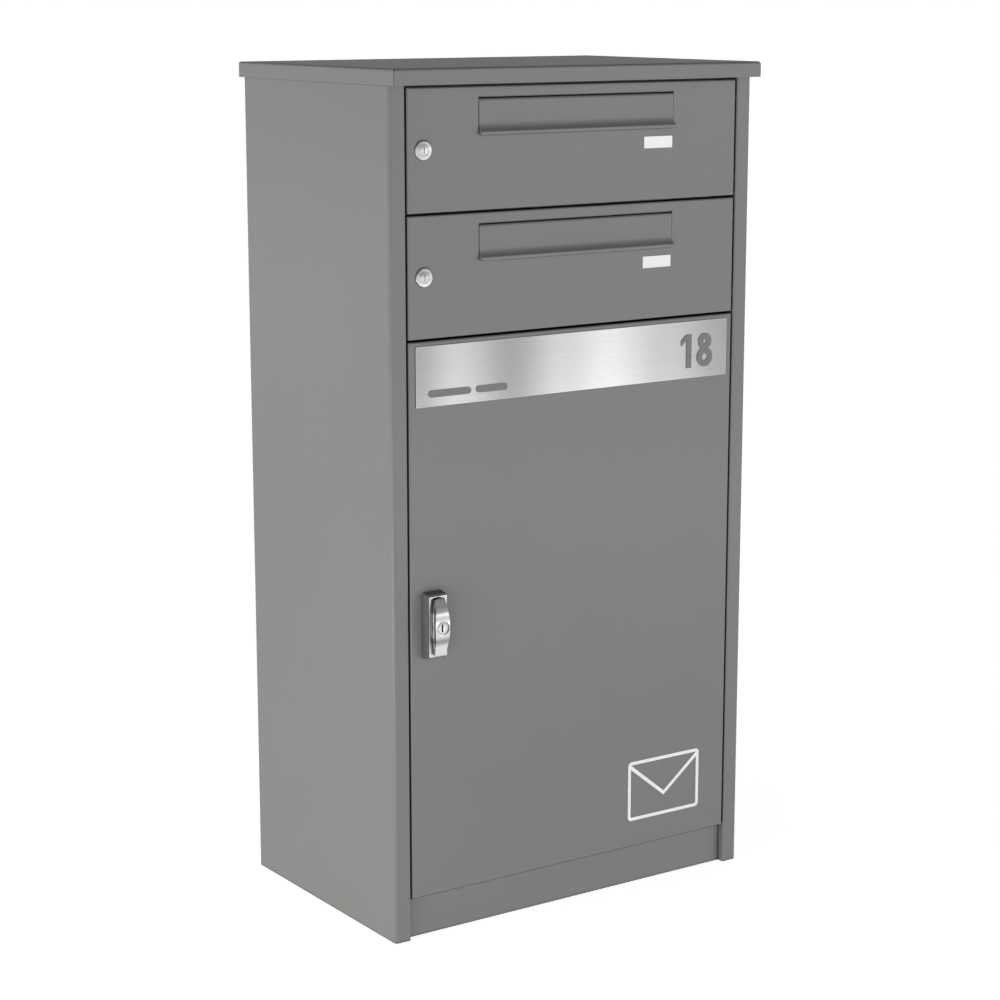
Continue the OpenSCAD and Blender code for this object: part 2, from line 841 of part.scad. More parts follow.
// Latch arm hanging down in the released position
module latch_arm() {
    color("silver") at_door(parcel_z) upright(arm_y, arm_y + arm_t) translate([grip_x, grip_z])
        difference() {
            union() {
                circle(8);
                strip([-6, -arm_len], [6, 0]);
            }
            circle(spindle_r);
        }
}

module spindle_nut() {
    color("silver") at_door(parcel_z) difference() {
        hex_y(grip_x, grip_z, arm_y + arm_t, arm_y + arm_t + nut_t, 15);
        bar_y(grip_x, grip_z, arm_y, arm_y + arm_t + nut_t + over, spindle_r);
    }
}

module key_plug() {
    color("lightgray") at_door(parcel_z) difference() {
        bar_y(grip_x, grip_z, plug_face, plug_end, plug_r);
        block([grip_x - grip_slot_w / 2, plug_face - over, grip_z - grip_slot_h / 2],
              [grip_x + grip_slot_w / 2, plug_face + grip_slot_d, grip_z + grip_slot_h / 2]);
    }
}

side_panel_left();
side_panel_right();
rear_panel();
roof_cap();
roof_nuts();
top_rail();
upper_shelf();
lower_shelf();
parcel_floor();
base_plate();
plinth_panel();
plinth_screws();
rear_screws();
hinge_brackets();
hinge_pins();
letter_strikes();
parcel_strike();
door_buffers();
upper_letter_door();
upper_hinge_ears();
upper_slot_frame();
upper_flap_pin();
upper_name_card();
upper_lock_housing();
upper_lock_nut();
upper_flap();
upper_lock_plug();
upper_lock_cam();
upper_cam_screw();
lower_letter_door();
lower_hinge_ears();
lower_slot_frame();
lower_flap_pin();
lower_name_card();
lower_lock_housing();
lower_lock_nut();
lower_flap();
lower_lock_plug();
lower_lock_cam();
lower_cam_screw();
parcel_door();
parcel_hinge_ears();
door_stiffener();
number_plate();
house_digits();
name_bars();
door_emblem();
latch_base();
latch_plate();
latch_screws();
turn_grip();
latch_arm();
spindle_nut();
key_plug();
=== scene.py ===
import math

import bmesh
import bpy
from bpy.props import FloatProperty, FloatVectorProperty, IntProperty, PointerProperty
from bpy.types import Operator, Panel, PropertyGroup
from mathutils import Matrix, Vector


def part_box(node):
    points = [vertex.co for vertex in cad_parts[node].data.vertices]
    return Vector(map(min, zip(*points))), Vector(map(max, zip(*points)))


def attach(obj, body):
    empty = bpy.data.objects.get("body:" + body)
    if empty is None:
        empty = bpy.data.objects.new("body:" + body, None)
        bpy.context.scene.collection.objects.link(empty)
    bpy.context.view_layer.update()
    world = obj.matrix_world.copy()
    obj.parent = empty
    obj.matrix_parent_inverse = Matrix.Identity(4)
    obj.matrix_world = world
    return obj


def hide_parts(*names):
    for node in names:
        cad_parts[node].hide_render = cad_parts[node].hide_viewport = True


bl_info = {
    "name": "Mailbox Cabinet Finishes",
    "version": (1, 0, 0),
    "blender": (4, 5, 0),
    "location": "3D View > Sidebar > Mailbox",
    "description": "Gives the packed mailbox cabinet its finishes, fine fittings, floor and lights",
    "category": "Object",
}

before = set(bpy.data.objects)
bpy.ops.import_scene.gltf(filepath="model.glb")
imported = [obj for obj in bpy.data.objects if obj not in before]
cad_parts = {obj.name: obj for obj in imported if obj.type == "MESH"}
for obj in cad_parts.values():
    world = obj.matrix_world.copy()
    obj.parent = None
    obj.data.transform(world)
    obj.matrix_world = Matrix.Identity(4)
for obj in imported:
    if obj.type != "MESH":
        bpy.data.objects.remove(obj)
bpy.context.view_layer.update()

MM = 0.001
TINY = 1e-9
LEAF_ROUNDS = 12
BLACK = (0.0, 0.0, 0.0, 1.0)

SHEET_NODES = (
    "side_panel_left", "side_panel_right", "rear_panel", "roof_cap", "top_rail",
    "upper_shelf", "lower_shelf", "parcel_floor", "base_plate", "plinth_panel",
    "upper_letter_door", "lower_letter_door", "parcel_door", "upper_flap", "lower_flap",
    "upper_slot_frame", "lower_slot_frame", "door_stiffener",
)
ZINC_NODES = (
    "roof_nuts", "plinth_screws", "rear_screws", "hinge_brackets", "hinge_pins",
    "letter_strikes", "parcel_strike", "upper_hinge_ears", "lower_hinge_ears",
    "parcel_hinge_ears", "upper_flap_pin", "lower_flap_pin", "upper_lock_nut",
    "lower_lock_nut", "upper_lock_cam", "lower_lock_cam", "upper_cam_screw",
    "lower_cam_screw", "latch_screws", "latch_arm", "spindle_nut",
)

# Painted reflections: lighter and darker bands painted across a piece in place of reflected light;
# each stop is (place from 0 to 1, share of the colour)
LOCK_PAINTED_REFLECTION = ((0.0, 1.0), (0.48, 0.96), (0.75, 0.52), (1.0, 0.46))
NUMBER_PLATE_PAINTED_REFLECTION = (
    (0.0, 0.48), (0.12, 0.73), (0.29, 0.46), (0.46, 0.79), (0.6, 0.98), (0.79, 0.71), (1.0, 0.49),
)
HANDLE_PLATE_PAINTED_REFLECTION = ((0.0, 1.0), (0.12, 0.85), (0.3, 0.72), (1.0, 0.72))
GRIP_PAINTED_REFLECTION = (
    (0.0, 1.0), (0.17, 1.0), (0.27, 0.42), (0.37, 0.97),
    (0.5, 0.72), (0.7, 0.72), (0.78, 0.15), (0.95, 0.53),
)
KEY_PLUG_PAINTED_REFLECTION = ((0.0, 1.0), (1.0, 0.8))

# How far the finishes look around a point for gaps, where they paint shade darker
SHEET_GAP = 6 * MM
CHROME_GAP = 8 * MM

# Letter locks
BARREL = 8.5 * MM
BARREL_BORE = 6.05 * MM
GASKET_THICK = 0.35 * MM
LETTER_SLOT_CORNER = (0.9, 3.1)

# Turn handle
SPINDLE = 8.0 * MM
SPINDLE_BORE = 8.06 * MM
GRIP_HALF_HIGH = 33.5 * MM
GRIP_END_SAG = 1.1 * MM
GRIP_CORNER = (6.5, 32.4)
SEAT_CORNER = (5.6, 32.8)
KEY_SLOT_CORNER = (1.3, 3.2)

# Turns, in radians, of the extra rays on both sides of a corner
CORNER_TURNS = (-0.045, -0.03, -0.018, -0.008, 0.0, 0.008, 0.018, 0.03, 0.045)

# Each lamp: where it stands, where it points, how wide and how high it is
LAMPS = {
    "front": ((1.15, -1.75, 0.08), (0.05, -0.16, 0.45), 1.5, 0.14),
    "right": ((2.4, -3.3, 0.95), (0.05, -0.16, 0.92), 1.4, 0.6),
    "side": ((-3.4, 0.4, 1.2), (-0.25, 0.0, 0.4), 2.4, 2.0),
    "low": ((-1.3, -0.5, 0.12), (-0.25, 0.0, 0.1), 1.6, 0.2),
    "back": ((-2.1, 3.2, 0.34), (-0.25, 0.0, 0.76), 1.6, 0.4),
}


# ---------------------------------------------------------------- settings

class SheetSettings(PropertyGroup):
    colour: FloatVectorProperty(
        name="Colour", description="Colour of the powder coat",
        subtype="COLOR", size=3, min=0.0, max=1.0, default=(0.178, 0.177, 0.170),
    )
    roughness: FloatProperty(
        name="Roughness", description="How dull the powder coat is",
        subtype="FACTOR", min=0.2, max=0.9, default=0.36,
    )
    texture_size: FloatProperty(
        name="Texture Size", description="Size of the fine ripples in the powder coat",
        subtype="DISTANCE", unit="LENGTH", min=0.0004, max=0.004, default=0.0014,
    )
    # Lightens the edges, partly as wear of the thin coat and partly as a painted highlight
    edge_wear_and_highlight: FloatProperty(
        name="Edge Wear", description="How much lighter the thin coat on the edges is",
        subtype="FACTOR", min=0.0, max=1.0, default=0.25,
    )


class MetalSettings(PropertyGroup):
    plate_colour: FloatVectorProperty(
        name="Plate Colour", description="Colour of the brushed steel number plate",
        subtype="COLOR", size=3, min=0.0, max=1.0, default=(0.66, 0.66, 0.656),
    )
    chrome_colour: FloatVectorProperty(
        name="Chrome Colour", description="Colour of the satin chrome on the turn handle",
        subtype="COLOR", size=3, min=0.0, max=1.0, default=(0.69, 0.69, 0.7),
    )
    nickel_colour: FloatVectorProperty(
        name="Nickel Colour", description="Colour of the nickel plating on the locks",
        subtype="COLOR", size=3, min=0.0, max=1.0, default=(0.5, 0.5, 0.5),
    )
    zinc_colour: FloatVectorProperty(
        name="Zinc Colour", description="Colour of the zinc plating on the hinges and screws",
        subtype="COLOR", size=3, min=0.0, max=1.0, default=(0.56, 0.57, 0.58),
    )
    plate_roughness: FloatProperty(
        name="Plate Roughness", description="How dull the number plate is",
        subtype="FACTOR", min=0.05, max=0.8, default=0.3,
    )
    chrome_roughness: FloatProperty(
        name="Chrome Roughness", description="How dull the turn handle is",
        subtype="FACTOR", min=0.05, max=0.8, default=0.16,
    )


class MarkSettings(PropertyGroup):
    emblem_colour: FloatVectorProperty(
        name="Emblem Colour", description="Colour of the envelope emblem",
        subtype="COLOR", size=3, min=0.0, max=1.0, default=(0.84, 0.84, 0.85),
    )
    print_colour: FloatVectorProperty(
        name="Print Colour", description="Colour of the digits and of the name bars",
        subtype="COLOR", size=3, min=0.0, max=1.0, default=(0.165, 0.165, 0.165),
    )
    card_colour: FloatVectorProperty(
        name="Card Colour", description="Colour of the name cards",
        subtype="COLOR", size=3, min=0.0, max=1.0, default=(0.86, 0.86, 0.87),
    )


class LockSettings(PropertyGroup):
    crown: FloatProperty(
        name="Crown", description="How far the faces of the letter locks bulge",
        subtype="DISTANCE", unit="LENGTH", min=0.0, max=0.0008, default=0.00055,
    )
    face_round: FloatProperty(
        name="Face Round", description="Radius of the rounded rim of the letter locks",
        subtype="DISTANCE", unit="LENGTH", min=0.0001, max=0.0012, default=0.0007,
    )
    thread_pitch: FloatProperty(
        name="Thread Pitch", description="Pitch of the thread on the lock barrels",
        subtype="DISTANCE", unit="LENGTH", min=0.0005, max=0.002, default=0.001,
    )
    rays: IntProperty(
        name="Steps Around", description="Number of steps around each turned part",
        min=24, max=256, default=96,
    )


class HandleSettings(PropertyGroup):
    edge_round: FloatProperty(
        name="Edge Round", description="Radius of the edges of the grip",
        subtype="DISTANCE", unit="LENGTH", min=0.0001, max=0.001, default=0.0006,
    )
    seat_depth: FloatProperty(
        name="Seat Depth", description="Depth of the seat in the plate behind the grip",
        subtype="DISTANCE", unit="LENGTH", min=0.0002, max=0.001, default=0.0008,
    )
    seat_margin: FloatProperty(
        name="Seat Margin", description="How far the seat reaches past the ends of the grip",
        subtype="DISTANCE", unit="LENGTH", min=0.0002, max=0.001, default=0.0006,
    )
    undercut: FloatProperty(
        name="Undercut", description="How far the sides of the grip lean in towards its foot",
        subtype="DISTANCE", unit="LENGTH", min=0.0, max=0.002, default=0.0014,
    )


class StageSettings(PropertyGroup):
    camera_place: FloatVectorProperty(
        name="Camera Place", description="Where the camera stands",
        subtype="TRANSLATION", unit="LENGTH", size=3, default=(-1.6344, -2.3883, 1.0608),
    )
    camera_turn: FloatProperty(
        name="Camera Turn", description="How far the camera looks to the right of straight back",
        subtype="ANGLE", unit="ROTATION", default=math.radians(34.42),
    )
    camera_tilt: FloatProperty(
        name="Camera Tilt", description="How far the camera looks down",
        subtype="ANGLE", unit="ROTATION", default=math.radians(11.73),
    )
    lens: FloatProperty(
        name="Lens", description="Focal length of the camera, on a sensor 36 mm wide",
        subtype="DISTANCE_CAMERA", unit="CAMERA", min=10.0, max=200.0, default=88.04,
    )
    floor_colour: FloatVectorProperty(
        name="Floor Colour", description="Colour of the pale floor",
        subtype="COLOR", size=3, min=0.0, max=1.0, default=(0.8, 0.8, 0.8),
    )
    floor_glow: FloatProperty(
        name="Floor Glow", description="Light that comes up through the floor, as on a light table",
        min=0.0, max=4.0, default=0.794,
    )
    horizon: FloatProperty(
        name="Horizon", description="Strength of the light from the horizon",
        min=0.0, max=4.0, default=1.02,
    )
    zenith: FloatProperty(
        name="Zenith", description="Strength of the light from straight above",
        min=0.0, max=4.0, default=0.1,
    )
    front_power: FloatProperty(
        name="Front Light", description="Strength of the low light in front on the right",
        subtype="POWER", unit="POWER", min=0.0, default=2.4,
    )
    right_power: FloatProperty(
        name="Right Light", description="Strength of the small light far in front on the right",
        subtype="POWER", unit="POWER", min=0.0, default=8.4,
    )
    side_power: FloatProperty(
        name="Side Light", description="Strength of the large light on the left",
        subtype="POWER", unit="POWER", min=0.0, default=9.8,
    )
    low_power: FloatProperty(
        name="Low Light", description="Strength of the low light on the left",
        subtype="POWER", unit="POWER", min=0.0, default=6.5,
    )
    back_power: FloatProperty(
        name="Back Light", description="Strength of the light behind on the left",
        subtype="POWER", unit="POWER", min=0.0, default=2.0,
    )


# ---------------------------------------------------------------- finishes

class Finish:
    """One procedural material, built node by node."""

    def __init__(self, name):
        self.material = bpy.data.materials.new(name)
        self.material.use_nodes = True
        self.tree = self.material.node_tree
        self.tree.nodes.clear()
        output = self.tree.nodes.new("ShaderNodeOutputMaterial")
        self.shader = self.tree.nodes.new("ShaderNodeBsdfPrincipled")
        self.link(self.shader.outputs["BSDF"], output.inputs["Surface"])
        self.place = self.tree.nodes.new("ShaderNodeTexCoord").outputs["Object"]

    def link(self, source, target):
        self.tree.links.new(source, target)

    def stretch(self, scale):
        """Object coordinates, scaled along each axis."""
        node = self.tree.nodes.new("ShaderNodeMapping")
        node.inputs["Scale"].default_value = scale
        self.link(self.place, node.inputs["Vector"])
        return node.outputs["Vector"]

    def noise(self, scale, detail=2.0, roughness=0.5, vector=None):
        """Soft noise, scale being its cells to a metre."""
        node = self.tree.nodes.new("ShaderNodeTexNoise")
        node.inputs["Scale"].default_value = scale
        node.inputs["Detail"].default_value = detail
        node.inputs["Roughness"].default_value = roughness
        self.link(vector or self.place, node.inputs["Vector"])
        return node.outputs["Fac"]

    def cells(self, scale):
        """Cell pattern, each cell with its own value."""
        node = self.tree.nodes.new("ShaderNodeTexVoronoi")
        node.inputs["Scale"].default_value = scale
        self.link(self.place, node.inputs["Vector"])
        split = self.tree.nodes.new("ShaderNodeSeparateColor")
        self.link(node.outputs["Color"], split.inputs["Color"])
        return split.outputs["Red"]

    def spread(self, value, low, high, start=0.3, end=0.7):
        """Value between start and end, spread from low to high."""
        node = self.tree.nodes.new("ShaderNodeMapRange")
        node.inputs["From Min"].default_value = start
        node.inputs["From Max"].default_value = end
        node.inputs["To Min"].default_value = low
        node.inputs["To Max"].default_value = high
        self.link(value, node.inputs["Value"])
        return node.outputs["Result"]

    def maths(self, operation, first, second):
        """Two values joined by one operation; either may be a number."""
        node = self.tree.nodes.new("ShaderNodeMath")
        node.operation = operation
        for socket, value in zip(node.inputs, (first, second)):
            if isinstance(value, (int, float)):
                socket.default_value = value
            else:
                self.link(value, socket)
        return node.outputs["Value"]

    def blend(self, amount, first, second):
        """Colour between first and second; each is a colour or a socket."""
        node = self.tree.nodes.new("ShaderNodeMix")
        node.data_type = "RGBA"
        self.link(amount, node.inputs[0])
        for socket, value in ((node.inputs[6], first), (node.inputs[7], second)):
            if isinstance(value, tuple):
                socket.default_value = value
            else:
                self.link(value, socket)
        return node.outputs[2]

    def mottle(self, value, colour, darker, lighter):
        """Colour that drifts from darker to lighter with a soft value."""
        amount = self.spread(value, 0.0, 1.0)
        return self.blend(amount, shade(colour, darker), shade(colour, lighter))

    def edges(self, radius):
        """One at the sharp edges, falling to nothing on the flats."""
        rounded = self.tree.nodes.new("ShaderNodeBevel")
        rounded.samples = 4
        rounded.inputs["Radius"].default_value = radius
        plain = self.tree.nodes.new("ShaderNodeNewGeometry")
        dot = self.tree.nodes.new("ShaderNodeVectorMath")
        dot.operation = "DOT_PRODUCT"
        self.link(rounded.outputs["Normal"], dot.inputs[0])
        self.link(plain.outputs["Normal"], dot.inputs[1])
        return self.spread(dot.outputs["Value"], 1.0, 0.0, 0.86, 0.995)

    def openness(self, distance):
        """One in the open, falling to nothing deep in a gap."""
        node = self.tree.nodes.new("ShaderNodeAmbientOcclusion")
        node.samples = 8
        node.inputs["Distance"].default_value = distance
        return node.outputs["AO"]

    def facing(self, axis, low, high, start, end):
        """Value that runs from low to high as the normal's part along one of the object's own axes
        runs from start to end."""
        place = self.tree.nodes.new("ShaderNodeTexCoord")
        split = self.tree.nodes.new("ShaderNodeSeparateXYZ")
        self.link(place.outputs["Normal"], split.inputs["Vector"])
        return self.spread(split.outputs[axis], low, high, start, end)

    def along(self, axis, stops):
        """Value that follows stops of (place, value) across the object, from 0 to 1."""
        place = self.tree.nodes.new("ShaderNodeTexCoord")
        split = self.tree.nodes.new("ShaderNodeSeparateXYZ")
        self.link(place.outputs["Generated"], split.inputs["Vector"])
        ramp = self.tree.nodes.new("ShaderNodeValToRGB")
        ramp.color_ramp.interpolation = "EASE"
        while len(ramp.color_ramp.elements) < len(stops):
            ramp.color_ramp.elements.new(0.5)
        for element, (position, value) in zip(ramp.color_ramp.elements, stops):
            element.position = position
            element.color = (value, value, value, 1.0)
        self.link(split.outputs[axis], ramp.inputs["Fac"])
        return ramp.outputs["Color"]

    def bumps(self, *layers):
        """Bump layers, each (height, strength, distance), the first the lowest."""
        normal = None
        for height, strength, distance in layers:
            node = self.tree.nodes.new("ShaderNodeBump")
            node.inputs["Strength"].default_value = strength
            node.inputs["Distance"].default_value = distance
            self.link(height, node.inputs["Height"])
            if normal:
                self.link(normal, node.inputs["Normal"])
            normal = node.outputs["Normal"]
        self.link(normal, self.shader.inputs["Normal"])

    def set(self, **values):
        """Plain numbers, set on the shader's own sockets."""
        sockets = {socket.name.replace(" ", "_").lower(): socket for socket in self.shader.inputs}
        for name, value in values.items():
            sockets[name].default_value = value

    def colour(self, source):
        self.link(source, self.shader.inputs["Base Color"])

    def roughness(self, source):
        self.link(source, self.shader.inputs["Roughness"])


def shade(colour, factor):
    """Colour made lighter or darker, with an alpha of one."""
    return tuple(min(1.0, part * factor) for part in colour) + (1.0,)


def powder_coat(settings):
    """Satin grey coat: rippled, lighter on the edges from thin coat and a painted highlight, with
    painted shade darkening the gaps, and dusty on top.
    """
    colour = settings.colour
    finish = Finish("powder_coat_satin_grey")
    ripple = finish.noise(1.0 / settings.texture_size, 3.0, 0.55)
    flow = finish.noise(0.12 / settings.texture_size, 1.0)
    speck = finish.noise(3.5 / settings.texture_size, 1.0, 0.6)
    cloud = finish.noise(7.0, 3.0)
    base = finish.mottle(cloud, colour, 0.985, 1.015)
    base = finish.blend(finish.spread(speck, 0.0, 0.5), base, shade(colour, 0.94))
    patches = finish.spread(finish.noise(90.0), 0.35, 1.0)
    # Lighter edges: partly a thinner, worn coat and partly a painted highlight along folds and
    # edges
    worn_and_highlit_edges = finish.maths("MULTIPLY", finish.edges(0.9 * MM), patches)
    worn_and_highlit_edges = finish.maths("MULTIPLY", worn_and_highlit_edges, settings.edge_wear_and_highlight)
    coat = finish.blend(worn_and_highlit_edges, base, shade(colour, 1.5))
    # Painted shade: deep in gaps and creases the colour is darkened towards near black by ambient
    # occlusion, and the gloss is dimmed there too
    openness = finish.openness(SHEET_GAP)
    painted_gap_shade = finish.spread(openness, 1.0, 0.0, 0.3, 0.72)
    finish.colour(finish.blend(painted_gap_shade, coat, shade(colour, 0.16)))
    clean = finish.facing("Z", 1.0, 0.02, 0.4, 0.98)
    gloss = finish.maths("MULTIPLY", finish.spread(openness, 0.02, 0.42, 0.3, 0.75), clean)
    finish.link(gloss, finish.shader.inputs["Specular IOR Level"])
    finish.roughness(finish.spread(ripple, settings.roughness - 0.05, settings.roughness + 0.05))
    finish.bumps((flow, 0.05, 0.0006), (ripple, 0.16, 0.00012), (speck, 0.1, 0.00003))
    return finish.material


def zinc(settings):
    """Zinc plating with its fine crystals."""
    finish = Finish("zinc_plated")
    grain = finish.noise(1400.0, 2.0)
    flakes = finish.cells(420.0)
    colour = settings.zinc_colour
    flaky = finish.spread(flakes, 0.0, 1.0, 0.0, 1.0)
    finish.colour(finish.blend(flaky, shade(colour, 0.88), shade(colour, 1.12)))
    finish.roughness(finish.spread(grain, 0.28, 0.44))
    finish.bumps((flakes, 0.06, 0.0001), (grain, 0.1, 0.00005))
    finish.set(metallic=1.0)
    return finish.material


def nickel(settings):
    """Satin nickel, with a painted reflection that makes it darker towards the top of the piece."""
    finish = Finish("nickel_satin")
    polish = finish.noise(700.0, 3.0, 0.6)
    haze = finish.noise(120.0, 2.0)
    hazy = finish.mottle(haze, settings.nickel_colour, 0.96, 1.04)
    # Painted reflection: bands darken the nickel towards the top
    finish.colour(finish.blend(finish.along("Z", LOCK_PAINTED_REFLECTION), BLACK, hazy))
    finish.roughness(finish.spread(polish, 0.24, 0.34))
    finish.bumps((polish, 0.05, 0.00004),)
    finish.set(metallic=1.0)
    return finish.material


def satin_chrome(settings, name, bands):
    """Satin chrome with painted reflections in bands up the height of the piece, and painted shade
    on its sides and in its gaps.
    """
    finish = Finish(name)
    brush = finish.noise(60.0, 3.0, 0.6, finish.stretch((40.0, 40.0, 1.0)))
    haze = finish.noise(160.0, 2.0)
    level = settings.chrome_roughness
    hazy = finish.mottle(haze, settings.chrome_colour, 0.97, 1.03)
    # Painted shade on the sides, and painted reflections in bands up the piece
    painted_side_shade = finish.facing("Y", 1.0, 0.5, -0.95, -0.4)
    painted_reflection_and_side_shade = finish.maths("MULTIPLY", finish.along("Z", bands), painted_side_shade)
    banded = finish.blend(painted_reflection_and_side_shade, BLACK, hazy)
    # Painted shade: near black deep in gaps, found by ambient occlusion
    painted_gap_shade = finish.spread(finish.openness(CHROME_GAP), 0.6, 0.0, 0.35, 0.9)
    finish.colour(finish.blend(painted_gap_shade, banded, (0.02, 0.02, 0.02, 1.0)))
    finish.roughness(finish.spread(brush, level - 0.03, level + 0.05))
    finish.bumps((brush, 0.03, 0.00003),)
    finish.set(metallic=1.0)
    return finish.material


def brushed_steel(settings):
    """Brushed steel with painted reflections in bands across its width and a painted highlight on
    its rim.
    """
    finish = Finish("steel_brushed")
    brush = finish.noise(50.0, 4.0, 0.65, finish.stretch((1.2, 60.0, 60.0)))
    scratch = finish.noise(26.0, 2.0, 0.5, finish.stretch((0.5, 90.0, 90.0)))
    level = settings.plate_roughness
    brushed = finish.mottle(brush, settings.plate_colour, 0.96, 1.04)
    # Painted reflections: bands across the plate's width
    brushed = finish.blend(finish.along("X", NUMBER_PLATE_PAINTED_REFLECTION), BLACK, brushed)
    # Painted highlight: the edges are lightened towards white
    rim = finish.maths("MULTIPLY", finish.edges(0.7 * MM), 0.7)
    finish.colour(finish.blend(rim, brushed, (0.98, 0.98, 0.98, 1.0)))
    finish.roughness(finish.spread(scratch, level - 0.05, level + 0.07))
    finish.bumps((brush, 0.04, 0.00004), (scratch, 0.04, 0.00003))
    finish.set(metallic=1.0, anisotropic=0.6)
    return finish.material


def dark_moulding():
    """Dark grey plastic moulding."""
    finish = Finish("dark_grey_moulding")
    grain = finish.noise(1600.0, 2.0, 0.6)
    cloud = finish.noise(60.0, 2.0)
    dark, light = (0.092, 0.092, 0.096, 1.0), (0.108, 0.108, 0.112, 1.0)
    finish.colour(finish.blend(finish.spread(cloud, 0.0, 1.0), dark, light))
    finish.roughness(finish.spread(grain, 0.42, 0.56))
    finish.bumps((grain, 0.14, 0.00008),)
    return finish.material


def rubber():
    """Black rubber, a little dusty."""
    finish = Finish("black_rubber")
    grain = finish.noise(1100.0, 3.0, 0.6)
    dust = finish.noise(180.0, 3.0)
    dark, light = (0.014, 0.014, 0.014, 1.0), (0.03, 0.03, 0.029, 1.0)
    finish.colour(finish.blend(finish.spread(dust, 0.0, 1.0), dark, light))
    finish.roughness(finish.spread(grain, 0.68, 0.86))
    finish.bumps((grain, 0.2, 0.0001),)
    return finish.material


def film(name, colour, spots):
    """Matt self-adhesive film or print, with a fine grain and faint spots to the metre."""
    finish = Finish(name)
    grain = finish.noise(2100.0, 2.0, 0.6)
    cloud = finish.noise(spots, 2.0)
    finish.colour(finish.mottle(cloud, colour, 0.97, 1.02))
    finish.roughness(finish.spread(grain, 0.42, 0.56))
    finish.bumps((grain, 0.08, 0.00004),)
    return finish.material


def card_paper(settings):
    """White card behind a clear coat."""
    finish = Finish("name_card_paper")
    fibre = finish.noise(900.0, 4.0, 0.7, finish.stretch((1.0, 1.0, 2.4)))
    finish.colour(finish.mottle(fibre, settings.card_colour, 0.97, 1.03))
    finish.roughness(finish.spread(fibre, 0.5, 0.7))
    finish.bumps((fibre, 0.08, 0.00005),)
    finish.set(coat_weight=0.6, coat_roughness=0.12)
    return finish.material


def dress(nodes, material):
    """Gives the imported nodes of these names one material."""
    for name in nodes:
        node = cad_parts[name]
        node.data.materials.clear()
        node.data.materials.append(material)


# ---------------------------------------------------------------- shapes

def circle(radius):
    """Outline of a circle, as a reach in each direction."""
    return lambda across, up: radius


def stadium(half_wide, half_high):
    """Outline of an upright slot with round ends."""
    straight = half_high - half_wide

    def reach(across, up):
        if abs(across) > TINY:
            side = half_wide / abs(across)
            if side * abs(up) <= straight:
                return side
        lean = straight * abs(up)
        return lean + math.sqrt(half_wide ** 2 - straight ** 2 + lean ** 2)

    return reach


def soft_rect(half_wide, half_high, corner):
    """Outline of a rectangle with round corners."""

    def reach(across, up):
        across, up = abs(across), abs(up)
        length = min(half_wide / max(across, TINY), half_high / max(up, TINY))
        middle = (half_wide - corner, half_high - corner)
        if length * across > middle[0] and length * up > middle[1]:
            lean = across * middle[0] + up * middle[1]
            inside = middle[0] ** 2 + middle[1] ** 2
            length = lean + math.sqrt(lean ** 2 - inside + corner ** 2)
        return length

    return reach


def leaf(half_mid, half_end, half_high, end_sag):
    """Outline with two bowed flanks and two slightly bowed ends."""
    swell = half_mid - half_end
    flank = (half_high ** 2 + swell ** 2) / (2 * swell)
    behind = flank - half_mid

    def reach(across, up):
        across, up = abs(across), abs(up)
        length = -behind * across + math.sqrt((behind * across) ** 2 - behind ** 2 + flank ** 2)
        for _ in range(LEAF_ROUNDS):
            sag = end_sag * (length * across / half_end) ** 2
            top = (half_high - sag) / max(up, TINY)
            length = min(length, 0.5 * (length + top)) if top < length else length
        return length

    return reach


def at_least(radius, outline):
    """Outline that never comes closer to the centre than radius."""
    return lambda across, up: max(radius, outline(across, up))


def directions(count, corners=()):
    """Evenly spaced directions, with extra ones close to the given corners. Each corner is
    (across, up), and only their ratio counts."""
    angles = [2 * math.pi * step / count for step in range(count)]
    for wide, high in corners:
        base = math.atan2(high, wide)
        for angle in (base, math.pi - base, math.pi + base, 2 * math.pi - base):
            angles += [angle + turn for turn in CORNER_TURNS]
    angles = sorted({round(angle % (2 * math.pi), 5) for angle in angles})
    return [(math.cos(angle), math.sin(angle)) for angle in angles]


def skin(mesh, centre, rings, rays, closed):
    """Adds rings of points around a Y axis through centre, joined ring to ring. Each ring is
    (outline, place), place being its Y or a function of X and Z that gives it."""
    loops = []
    for outline, place in rings:
        loop = []
        for across, up in rays:
            length = outline(across, up)
            x, z = length * across, length * up
            y = place(x, z) if callable(place) else place
            loop.append(mesh.verts.new((centre[0] + x, centre[1] + y, centre[2] + z)))
        loops.append(loop)
    pairs = list(zip(loops, loops[1:])) + ([(loops[-1], loops[0])] if closed else [])
    count = len(rays)
    for low, high in pairs:
        for step in range(count):
            after = (step + 1) % count
            mesh.faces.new((low[step], low[after], high[after], high[step]))
    if not closed:
        mesh.faces.new(loops[0][::-1])
        mesh.faces.new(loops[-1])


def piece(name, mesh, material, body, slot, *nodes, angle=32.0):
    """Makes the shape an object that rides on a body and stands for CAD nodes."""
    bmesh.ops.remove_doubles(mesh, verts=mesh.verts, dist=1e-7)
    bmesh.ops.recalc_face_normals(mesh, faces=mesh.faces)
    data = bpy.data.meshes.new(name)
    mesh.to_mesh(data)
    mesh.free()
    data.polygons.foreach_set("use_smooth", [True] * len(data.polygons))
    data.set_sharp_from_angle(angle=math.radians(angle))
    data.materials.append(material)
    made = bpy.data.objects.new(name, data)
    bpy.context.scene.collection.objects.link(made)
    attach(made, body)
    if nodes:
        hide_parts(*nodes)


def middle(node):
    """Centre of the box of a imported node."""
    low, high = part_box(node)
    return (low + high) / 2


def round_edge(outer, front, radius, steps=4):
    """Rings of a rounded rim, each (radius, Y), from the outer wall to the front face."""
    rings = []
    for step in range(steps + 1):
        turn = math.pi / 2 * step / steps
        reach = outer - radius + radius * math.cos(turn)
        rings.append((reach, front + radius - radius * math.sin(turn)))
    return rings


# ---------------------------------------------------------------- operators

